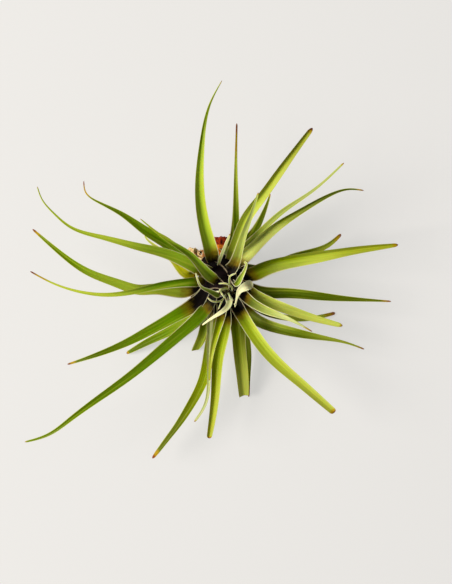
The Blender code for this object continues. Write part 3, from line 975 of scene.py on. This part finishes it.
    def build(self, leaf: Leaf) -> Piece:
        """Make and dress a leaf that grows from the stem.

        Args:
            leaf: The leaf.

        Returns:
            The blade's object, kept clear of the stem all along.
        """
        room = self.root_clearance + self.ring_room * (self.top_ring - leaf.ring)
        points, marks = self.grid(leaf, (self.root(leaf), *leaf.route), room)
        piece = skin(leaf.node + "_dressed", points, marks)
        return dress(piece, self.finishes[leaf.tone], leaf.node)

    def build_bract(self, bract: Leaf) -> Piece:
        """Make and dress a sheath's tip, which grows out of the stem and stands for it."""
        piece = skin(bract.node, *self.grid(bract, bract.route, None))
        return dress(piece, self.finishes[bract.tone], "stem")


# Each leaf's numbers after its route are its ring, bearing, width and taper.
# The oldest leaves, lowest on the stem.
OUTER_LEAVES = (
    Leaf("outer_leaf_1", ((12, 11, 27), (14.7, 28.5, 38), (14.7, 53.5, 50), (15.2, 87.5, 60)),
         0, 75, 9, 1.7, fold=34, roll=5, twist=-80, pallor_and_light=(-0.2, 1), dry=14, tone=Tone.DEEP),
    Leaf("outer_leaf_2", ((33, -4.2, 17), (51.5, 3.2, 22), (66, 7.6, 24.5), (75.7, 11.5, 25),
                          (84.8, 19.1, 24)),
         0, 12, 7, 0.7, tip=1.6, fold=28, roll=-12, pallor_and_light=(-0.6, 0.4), crest_light=-0.3, dry=4, blunt=1,
         tone=Tone.DEEP),
    Leaf("outer_leaf_3", ((21, -45.5, 9), (23.8, -60.5, 7), (23.9, -75.5, 4), (24, -91, 1)),
         0, -64, 7, 0.9, fold=26, crest_light=0.3, dry=5, tone=Tone.DEEP),
    Leaf("outer_leaf_4", ((-4, -33, 9), (-6, -44, 8), (-9, -52.4, 5), (-12.6, -59.1, 1)),
         0, -108, 9.4, 0.4, tip=2.4, fold=26, pallor_and_light=(-0.9, 0.2), crest_light=0.2, dry=0.4, blunt=0.4, slant=1.0,
         tone=Tone.DEEP),
    Leaf("outer_leaf_5", ((-16.6, -8, 15), (-27.2, 2.2, 19), (-40.7, 12.8, 20), (-45.6, 18.6, 18.5),
                          (-44.6, 22.8, 17)),
         0, -171, 9.2, 1.7, fold=28, roll=20, pallor_and_light=(0, -0.3), dark=25, dry=0.4, tone=Tone.AGEING),
    Leaf("outer_leaf_6", ((23.3, 15.6, 26), (29.7, 25.2, 33.5), (34.4, 36.1, 41), (37, 44, 46)),
         1, 61, 9.5, 1.0, tip=0.7, roll=20, pallor_and_light=(0.1, -0.3), dry=1.5, tone=Tone.DEEP),
    Leaf("outer_leaf_7", ((33, -32, 14), (48.5, -36.5, 13), (67, -37, 7), (83, -33.6, 1)),
         1, -37, 6, 0.9, tip=1.8, fold=28, roll=20, pallor_and_light=(-0.6, 1), crest_light=0.4, dry=6, blunt=1,
         tone=Tone.DEEP),
    Leaf("outer_leaf_8", ((0.5, -37, 20), (-2.2, -55, 24), (-5.8, -74.3, 26), (-15.8, -95.3, 26),
                          (-40.7, -130, 22)),
         1, -100, 8, 0.65, tip=1.2, belly=0.8, roll=-22, twist=-50, pallor_and_light=(0.4, -0.9), crest_light=-0.2, dry=4.5,
         tone=Tone.LIME),
    Leaf("outer_leaf_9", ((-17, -36.8, 13), (-32.6, -47.1, 12), (-46.6, -54.1, 7), (-59.6, -61.2, 1)),
         1, -131, 9.5, 0.75, tip=1.6, fold=26, roll=-20, pallor_and_light=(0.7, -0.6), dry=1.5, blunt=1),
)

# The leaves of the middle rings.
MIDDLE_LEAVES = (
    Leaf("middle_leaf_1", ((29, 18, 38), (45.3, 32.7, 52), (63.6, 45, 60), (82.6, 62, 64)),
         2, 54, 6.5, 1.4, roll=20, pallor_and_light=(-0.2, -0.2), dark=28, dry=1.5, tone=Tone.PALE),
    Leaf("middle_leaf_2", ((28.5, -18.5, 21), (47.5, -20, 28), (73.5, -22.5, 32), (100, -24.5, 31),
                           (117.5, -25.5, 28)),
         2, -22, 9.5, 1.1, tip=0.8, belly=0.8, fold=30, roll=8, pallor_and_light=(0.1, -0.2), crest_light=-0.5, dark=20,
         dry=5, tone=Tone.DEEP),
    Leaf("middle_leaf_3", ((15.8, -41, 19), (17.6, -58.5, 18), (19.3, -73.5, 13), (20.6, -89.5, 6)),
         2, -72, 10, 0.5, tip=6, fold=30, roll=15, pallor_and_light=(-0.4, 0.7), lit_side=-0.6, dry=0.2, blunt=0.1,
         tone=Tone.LIME),
    Leaf("middle_leaf_4", ((-2, -38, 26), (-2.7, -58, 30), (-2.9, -77.5, 31), (-5.2, -93, 29),
                           (-12.5, -105.3, 26)),
         2, -106, 4.5, 1.1, tip=1.3, fold=30, roll=15, pallor_and_light=(1, 1), dry=1, tone=Tone.PALE),
    Leaf("middle_leaf_5", ((-12.5, -16.2, 19), (-36, -17.4, 30), (-49, -17.8, 35), (-60.2, -14.3, 38),
                           (-79.3, -7.1, 43), (-99, 6.1, 43), (-117.4, 21.6, 40)),
         2, -166, 9.3, 0.85, roll=22, twist=-40, pallor_and_light=(0.7, -0.2), crest_light=0.2, dark=31, dry=5),
    Leaf("middle_leaf_6", ((-9, -4, 32), (-30, 12.2, 47), (-42.5, 19.6, 53), (-56.9, 29.6, 58),
                           (-72.2, 37.5, 61), (-80.2, 43.6, 61), (-81.6, 51, 60)),
         2, 153, 10, 1.5, tip=0.5, belly=2.2, belly_at=0.45, roll=15, pallor_and_light=(0.2, -0.7), crest_light=-0.2,
         dry=8),
    Leaf("middle_leaf_7", ((14.5, 10.5, 40), (20.9, 26.7, 50), (29.9, 39.1, 59), (46, 61.1, 70),
                           (61.9, 82.2, 76)),
         3, 69, 8.5, 0.75, tip=2.2, roll=-18, twist=-40, pallor_and_light=(0.4, 0.2), lit_side=0.6, tone=Tone.LIME),
    Leaf("middle_leaf_8", ((24.5, -8.2, 27), (32.5, -4.9, 33), (56.5, 1.2, 42), (85.5, 6.4, 47),
                           (119.4, 11.1, 46)),
         3, 10, 10.7, 0.82, tip=1.9, belly=0.3, fold=34, roll=-30, twist=40, pallor_and_light=(-0.1, 0.1), crest_light=0.3,
         lit_side=0.3, tone=Tone.LIME),
    Leaf("middle_leaf_9", ((24.1, -34.3, 25), (44, -43.5, 33), (70.1, -49, 35), (87, -52.5, 33),
                           (99.5, -57, 30)),
         3, -47, 10.4, 1.4, tip=0.8, belly=1.6, fold=30, roll=20, pallor_and_light=(0.4, 0.5), crest_light=-0.4, dark=20,
         dry=4, tone=Tone.DEEP),
    Leaf("middle_leaf_10", ((7.7, -39.5, 31), (3.5, -60.5, 38), (1.6, -83.5, 40), (-2.7, -115.2, 34)),
         3, -91, 9.5, 0.78, tip=2.9, fold=34, roll=8, pallor_and_light=(-0.1, 0.2), crest_light=-0.3, lit_side=-0.6, dry=1.2,
         blunt=1, tone=Tone.LIME),
    Leaf("middle_leaf_11", ((-11.4, -26.2, 28), (-23, -33.9, 35), (-40.8, -44.1, 40.5),
                            (-63.4, -55.3, 42), (-95, -66.5, 38)),
         3, -142, 10.8, 1.0, roll=-20, twist=40, pallor_and_light=(-0.1, -0.8), dark=32, dry=4),
    Leaf("middle_leaf_12", ((-0.6, 4, 37), (-6, 26, 52), (-8.2, 48.5, 63), (-6.4, 74, 71),
                            (-1.4, 97.5, 75), (6, 111.5, 77)),
         3, 118, 10.8, 1.25, tip=0.3, belly=0.5, roll=-5, pallor_and_light=(0.4, -0.3), crest_light=0.3, lit_side=0.9, dark=30,
         dry=1.5),
)

# The uppermost full-grown leaves.
INNER_LEAVES = (
    Leaf("inner_leaf_1", ((24.6, 7.4, 48), (38.3, 20, 60), (55, 31, 68), (70, 39.5, 73), (85, 44.5, 74),
                          (94, 43.8, 73)),
         4, 59, 11, 1.35, tip=0.6, fold=34, roll=-32, pallor_and_light=(0.9, -0.8), crest_light=-0.3, lit_side=0.4, dark=24,
         dry=3, tone=Tone.SHADED),
    Leaf("inner_leaf_2", ((29.5, -22.5, 36), (49.8, -31.1, 45), (69, -37.3, 49), (83.2, -41, 49)),
         4, -12, 8.2, 0.8, tip=2.4, belly=0.7, fold=30, roll=-15, pallor_and_light=(0.6, 1), crest_light=0.4, dark=18,
         dry=1.2, tone=Tone.LIME),
    Leaf("inner_leaf_3", ((20, -36.5, 38), (34.3, -57.2, 46), (55.4, -77, 50), (78.2, -96.8, 48)),
         4, -61, 9.1, 0.86, tip=4.1, belly=0.4, fold=34, roll=-15, pallor_and_light=(0.1, 0.5), lit_side=-0.9, dark=20,
         dry=1.8, blunt=0.8, tone=Tone.LIME),
    Leaf("inner_leaf_4", ((-5, -29.8, 39), (-20.2, -45.2, 48.5), (-39.4, -62, 55), (-64.8, -81.4, 58),
                          (-90.3, -100, 58), (-104.4, -109.9, 56), (-120, -115, 54)),
         4, -134, 9, 0.95, fold=34, roll=-27, twist=70, pallor_and_light=(-0.5, -0.3), crest_light=-0.1, dark=20, dry=0.8),
    Leaf("inner_leaf_5", ((-8, -12.8, 37.6), (-30.5, -14.8, 50), (-46, -18.2, 56), (-64.5, -21, 61),
                          (-83.5, -19.2, 63), (-102.5, -13, 62), (-115.5, -6.2, 60)),
         4, -178, 7.5, 1.6, tip=0.7, fold=34, roll=10, twist=-70, pallor_and_light=(0, 0.8), crest_light=0.4, dry=9),
    Leaf("inner_leaf_6", ((-5, -6, 40), (-25.5, 3.5, 54), (-45.5, 8.9, 63), (-70, 15.1, 70),
                          (-88.5, 21.2, 72), (-98.8, 29.7, 72), (-106.3, 38.5, 71), (-109.4, 46.5, 70)),
         4, 146, 10.6, 1.6, tip=0.5, fold=34, roll=12, twist=-50, pallor_and_light=(0.3, 0.2), crest_light=0.5, dark=24,
         dry=0.8),
    Leaf("inner_leaf_7", ((14, -0.5, 55), (18.3, 13, 70), (24.3, 29.5, 84), (28, 41, 90)),
         5, 81, 9.5, 1.1, fold=36, roll=20, pallor_and_light=(-0.4, -0.5), crest_light=0.4, lit_side=0.4, dark=21, dry=0.8,
         tone=Tone.PALE),
    Leaf("inner_leaf_8", ((26.5, -27, 47), (36.5, -32, 55), (49.3, -36.9, 62), (62.8, -44.3, 62)),
         5, -20, 9, 1.35, tip=0.6, belly=1.0, belly_at=0.55, fold=22, pallor_and_light=(-0.9, 0.7), lit_side=0.2, dark=15,
         dry=4, tone=Tone.PALE),
    Leaf("inner_leaf_9", ((5.5, -33, 46), (2.5, -45, 55), (-0.5, -57.5, 59), (-2.2, -75.5, 57)),
         5, -104, 8.5, 1.1, fold=34, pallor_and_light=(-0.5, 0.4), crest_light=0.1, dark=19, dry=0.8, tone=Tone.LIME),
    Leaf("inner_leaf_10", ((-4.8, -6.3, 54), (-13.8, 3.6, 68), (-29, 13.6, 80), (-43.8, 25.3, 87)),
         6, 148, 9.4, 1.35, tip=0.5, fold=34, roll=15, pallor_and_light=(0.3, 0.3), crest_light=-0.2, dark=13, dry=0.6),
)

# The young leaves round the bud.
HEART_LEAVES = (
    Leaf("heart_leaf_1", ((15, -14, 50), (18, -9.5, 60), (20.5, -4.5, 67), (21, -1.5, 69),
                          (19.5, -0.5, 67)),
         6.4, 55, 3.4, 0.8, tip=1.0, belly=1.2, fold=34, dark=9, dry=0.4, tone=Tone.YOUNG),
    Leaf("heart_leaf_2", ((18, -18.5, 50), (21, -16.5, 60), (22.6, -15, 66), (22, -15, 69.5),
                          (20, -16, 71.5), (17.5, -17.8, 71), (15.8, -21, 68.5), (14, -29, 62)),
         6.4, -10, 2.2, 1.0, tip=0.7, belly=3.9, belly_at=0.6, fold=22, pallor_and_light=(0.8, 1), dark=9, dry=0.4,
         rim=0.3, tone=Tone.YOUNG),
    Leaf("heart_leaf_3", ((10.5, -25.5, 50), (9, -29, 56), (5.5, -32, 59), (0, -35.5, 58),
                          (-7, -40.5, 54)),
         6.4, -72, 3.2, 0.9, tip=0.7, belly=1.2, belly_at=0.45, fold=26, roll=-25, pallor_and_light=(0.7, 1), dark=8,
         dry=0.4, tone=Tone.YOUNG),
    Leaf("heart_leaf_4", ((2.5, -21, 50.5), (-2.5, -18.5, 59.5), (-7.5, -15.5, 66), (-9.5, -11, 69),
                          (-10.5, -7, 69)),
         6.4, -165, 4.6, 1.1, tip=0.6, belly=0.6, belly_at=0.4, fold=34, pallor_and_light=(-0.5, 0.2), dark=9,
         dry=0.4, tone=Tone.YOUNG),
)

# The tip of a sheath beside the stump. Its route starts at its own foot.
BRACTS = (
    Leaf("stem_bract", ((3.4, -2, 30), (4.3, 1.4, 36), (7.6, 9.8, 43), (11, 18, 47)),
         width=2.8, tip=1.4, fold=20, roll=-10, pallor_and_light=(0.4, 1), dark=4, dry=0.6, rim=0.36, tone=Tone.PALE),
)

# Dry remains of old leaf bases round the stem's foot.
SCALES = (
    Leaf("dry_scale_1", ((-12.5, 6, 9), (-17, 9, 11)),
         -1, 135, 9, 0.5, tip=4, fold=24, dry=0.5, tone=Tone.PAPERY),
    Leaf("dry_scale_2", ((-15, -4, 6), (-20, -4.5, 7)),
         -1, 175, 8, 0.6, tip=3, fold=22, dry=0.5, tone=Tone.PAPERY),
    Leaf("dry_scale_3", ((-12, -20.5, 4.5), (-15.5, -24.5, 5)),
         -0.6, -150, 8, 0.6, tip=3, fold=20, dry=0.5, tone=Tone.PAPERY),
    Leaf("dry_scale_4", ((16, 9, 9), (19, 12.5, 10)),
         -1, 38, 8, 0.6, tip=2.5, fold=22, dry=0.5, tone=Tone.PAPERY),
)


# The heart and the crumbs


@dataclass(frozen=True)
class Heart:
    """The bud of unopened leaves with its small curls. Lengths are in mm.

    The bud sits a small gap above the stem's end. foot_mark is its reading past the dark foot, as
    Blades.foot gives for a leaf, which paints the bud mostly dark as painted shade deep in the heart. curl
    holds what all curls have in common, and curls their routes.
    """

    blades: Blades
    gap: float = 0.35
    length: float = 8.0
    foot_radius: float = 4.4
    top_radius: float = 2.0
    rows: int = 24
    around: int = 36
    # Painted shade: the bud lies mostly within the dark foot.
    foot_mark: float = 0.75
    curl: Leaf = Leaf("curl", (), width=1.5, tip=0.6, fold=20, dark=4.5, dry=0.3, rim=0.2, tone=Tone.YOUNG)
    curls: tuple[tuple[Point, ...], ...] = (
        ((10.5, -17, 47), (10.5, -12.5, 54), (12, -8.5, 60), (15, -7.5, 61)),
        ((11.5, -19, 47), (12, -16, 55), (8.5, -14, 59), (3.5, -14, 57)),
        ((10.5, -18.5, 47), (8, -17, 55), (4.5, -18, 58), (4, -19.5, 56)),
        ((9.5, -19.5, 47), (11, -23, 55), (11.5, -25.5, 54)),
        ((8.5, -18.5, 47), (5, -19, 54), (6.5, -21.5, 56), (8.5, -23.5, 54)),
        ((8.5, -21.5, 47), (3, -25.5, 55.5), (-1.5, -24.5, 58), (-3.5, -22.5, 58)),
        ((8.5, -20.5, 47), (5, -27, 52), (3.5, -30.5, 53.5)),
    )

    def build(self) -> list[Piece]:
        """Make and dress the bud and its curls.

        Returns:
            The objects. The bud is rings round the stem's axis that narrow as a quarter sine and
            close by the root of one less the sixth power of the way up.
        """
        stem = self.blades.stem
        share = np.linspace(0.0, 1.0, self.rows)
        dome = np.sin(share * np.pi / 2)
        along = stem.profile[-1][0] + self.gap + self.length * dome
        radius = self.foot_radius + (self.top_radius - self.foot_radius) * dome
        radius = radius * np.sqrt(np.clip(1 - share**6, 0.01, 1))
        angle = round_angles(self.around)
        points = along[:, None, None] * stem.axis + radius[:, None, None] * stem.spokes(angle)
        flat = np.zeros(points.shape[:2])
        # The bud is painted mostly dark, as painted shade deep in the heart.
        marks = plain_marks(flat) | {"along": along[:, None] + flat, "across": radius[:, None] * angle,
                                     "foot": flat + self.foot_mark}
        made = [skin("heart_bud_dressed", points, marks)]
        for number, route in enumerate(self.curls, start=1):
            curl = replace(self.curl, node=f"curl_{number}")
            made.append(skin(f"heart_curl_{number}", *self.blades.grid(curl, route, None)))
        return [dress(piece, self.blades.finishes[Tone.YOUNG], "heart_bud") for piece in made]


@dataclass(frozen=True)
class Crumbs:
    """Crumbs of dead bark and leaf bases, caught between the stump and the old leaves.

    Lengths are in mm. They lie between two corners of a box, low and high. A crumb is a flattened
    ball whose radius wavers, open at the poles by pole_gap in radians until they are capped.
    foot_mark is its least reading past the dark foot.
    """

    count: int = 46
    low: Point = (-17.0, 1.0, 9.5)
    high: Point = (-4.0, 9.3, 13.5)
    sizes: tuple[float, float] = (0.7, 2.2)
    flattening: float = 0.5
    waver: float = 0.4
    rows: int = 12
    around: int = 16
    pole_gap: float = 0.03
    foot_mark: float = 0.85
    seed: int = 11

    def build(self, finish: Material) -> Piece:
        """Make and dress the crumbs.

        Args:
            finish: Their finish.

        Returns:
            One object of many lumps. A lump's radius wavers by a sine of three times the angle
            round it, times a sine of twice the angle from its pole.
        """
        draw = np.random.default_rng(self.seed)
        centre = draw.uniform(self.low, self.high, (self.count, 3))[:, None, None]
        size = draw.uniform(*self.sizes, (self.count, 1, 1, 3)) * (1.0, 1.0, self.flattening)
        polar = np.linspace(np.pi - self.pole_gap, self.pole_gap, self.rows)[:, None]
        angle = round_angles(self.around)
        phase = draw.uniform(0, 2 * np.pi, (self.count, 2, 1, 1))
        radius = 1 + self.waver * np.sin(3 * angle + phase[:, 0]) * np.sin(2 * polar + phase[:, 1])
        level = np.sin(polar)
        ball = np.stack(np.broadcast_arrays(level * np.cos(angle), level * np.sin(angle), np.cos(polar)),
                        axis=-1)
        points = centre + size * radius[..., None] * ball
        flat = np.zeros(points.shape[:-1])
        shade = flat + draw.uniform(0.0, 1.0, (self.count, 1, 1))
        marks = plain_marks(flat) | {"share": shade, "foot": self.foot_mark + shade}
        return dress(skin("dry_crumbs", points, marks), finish, "dry_scale_1")


# The studio


@dataclass(frozen=True)
class SoftLight:
    """A square soft light: its place and side in metres, its power in watts and its colour."""

    name: str
    place: Point
    side: float
    power: float
    colour: str

    def build(self, target: Vector) -> Piece:
        """Hang the light.

        Args:
            target: The point that it faces, in metres.

        Returns:
            The light's object.
        """
        data = bpy.data.lights.new(self.name, "AREA")
        data.shape = "SQUARE"
        data.size = self.side
        data.energy = self.power
        data.color = linear(self.colour)[:3]
        made = bpy.data.objects.new(self.name, data)
        made.location = self.place
        made.rotation_euler = (target - made.location).to_track_quat("-Z", "Y").to_euler()
        bpy.context.scene.collection.objects.link(made)
        return made


@dataclass(frozen=True)
class Studio:
    """A pale surface, soft light from the left, and the camera straight above.

    centre is the point in mm that the lights face and the camera hangs over, and distance is from
    there to the camera. floor_half and far are in metres, and lens is in mm.
    """

    centre: Point = (8.4, -19.3, 40.0)
    distance: float = 750.0
    lens: float = 71.1
    far: float = 200.0
    floor_half: float = 60.0
    paper: PaperFinish = PaperFinish()
    sky: str = "#f4f5f2"
    sky_strength: float = 0.08
    lights: tuple[SoftLight, ...] = (
        SoftLight("window", (-1.8, 0.0, 1.88), 1.3, 96.0, "#fffaf4"),
        SoftLight("overhead", (0.2, 0.0, 1.5), 1.2, 1.8, "#f8faff"),
    )

    def build_floor(self) -> Piece:
        """Make and dress the surface that the plant lies on.

        Returns:
            The surface, one square.
        """
        half = self.floor_half
        corners = [(-half, -half, 0.0), (half, -half, 0.0), (half, half, 0.0), (-half, half, 0.0)]
        mesh = bpy.data.meshes.new("floor")
        mesh.from_pydata(corners, [], [(0, 1, 2, 3)])
        made = bpy.data.objects.new("floor", mesh)
        bpy.context.scene.collection.objects.link(made)
        mesh.materials.append(self.paper.build())
        return made

    def build_camera(self) -> Piece:
        """Hang the camera straight above the plant, with +Y at the top of the picture.

        Returns:
            The camera.
        """
        data = bpy.data.cameras.new("camera")
        data.lens = self.lens
        data.clip_end = self.far
        made = bpy.data.objects.new("camera", data)
        x, y, z = self.centre
        made.location = (x * MM, y * MM, (z + self.distance) * MM)
        bpy.context.scene.collection.objects.link(made)
        bpy.context.scene.camera = made
        return made

    def build(self) -> None:
        """Set the view, the sky, the surface, the lights and the camera."""
        scene = bpy.context.scene
        scene.view_settings.view_transform = "Standard"
        world = bpy.data.worlds.new("studio")
        world.use_nodes = True
        background = world.node_tree.nodes["Background"]
        background.inputs["Color"].default_value = linear(self.sky)
        background.inputs["Strength"].default_value = self.sky_strength
        scene.world = world
        self.build_floor()
        for light in self.lights:
            light.build(Vector(self.centre) * MM)
        self.build_camera()


def main() -> None:
    """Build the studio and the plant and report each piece."""
    logging.basicConfig(level=logging.INFO, format="%(name)s: %(message)s")
    Studio().build()
    finishes = {tone: finish.build(tone.value) for tone, finish in FINISHES.items()}
    bark = BarkFinish().build()
    stem = Stem()
    blades = Blades(stem, finishes)
    pieces = [stem.build(bark), Stump().build(bark), *Heart(blades).build(),
              Crumbs().build(finishes[Tone.CRUMBLED]), *map(blades.build_bract, BRACTS)]
    pieces += map(blades.build, OUTER_LEAVES + MIDDLE_LEAVES + INNER_LEAVES + HEART_LEAVES + SCALES)
    for piece in pieces:
        LOG.info("made %s", piece.name)


if __name__ == "__main__":
    main()
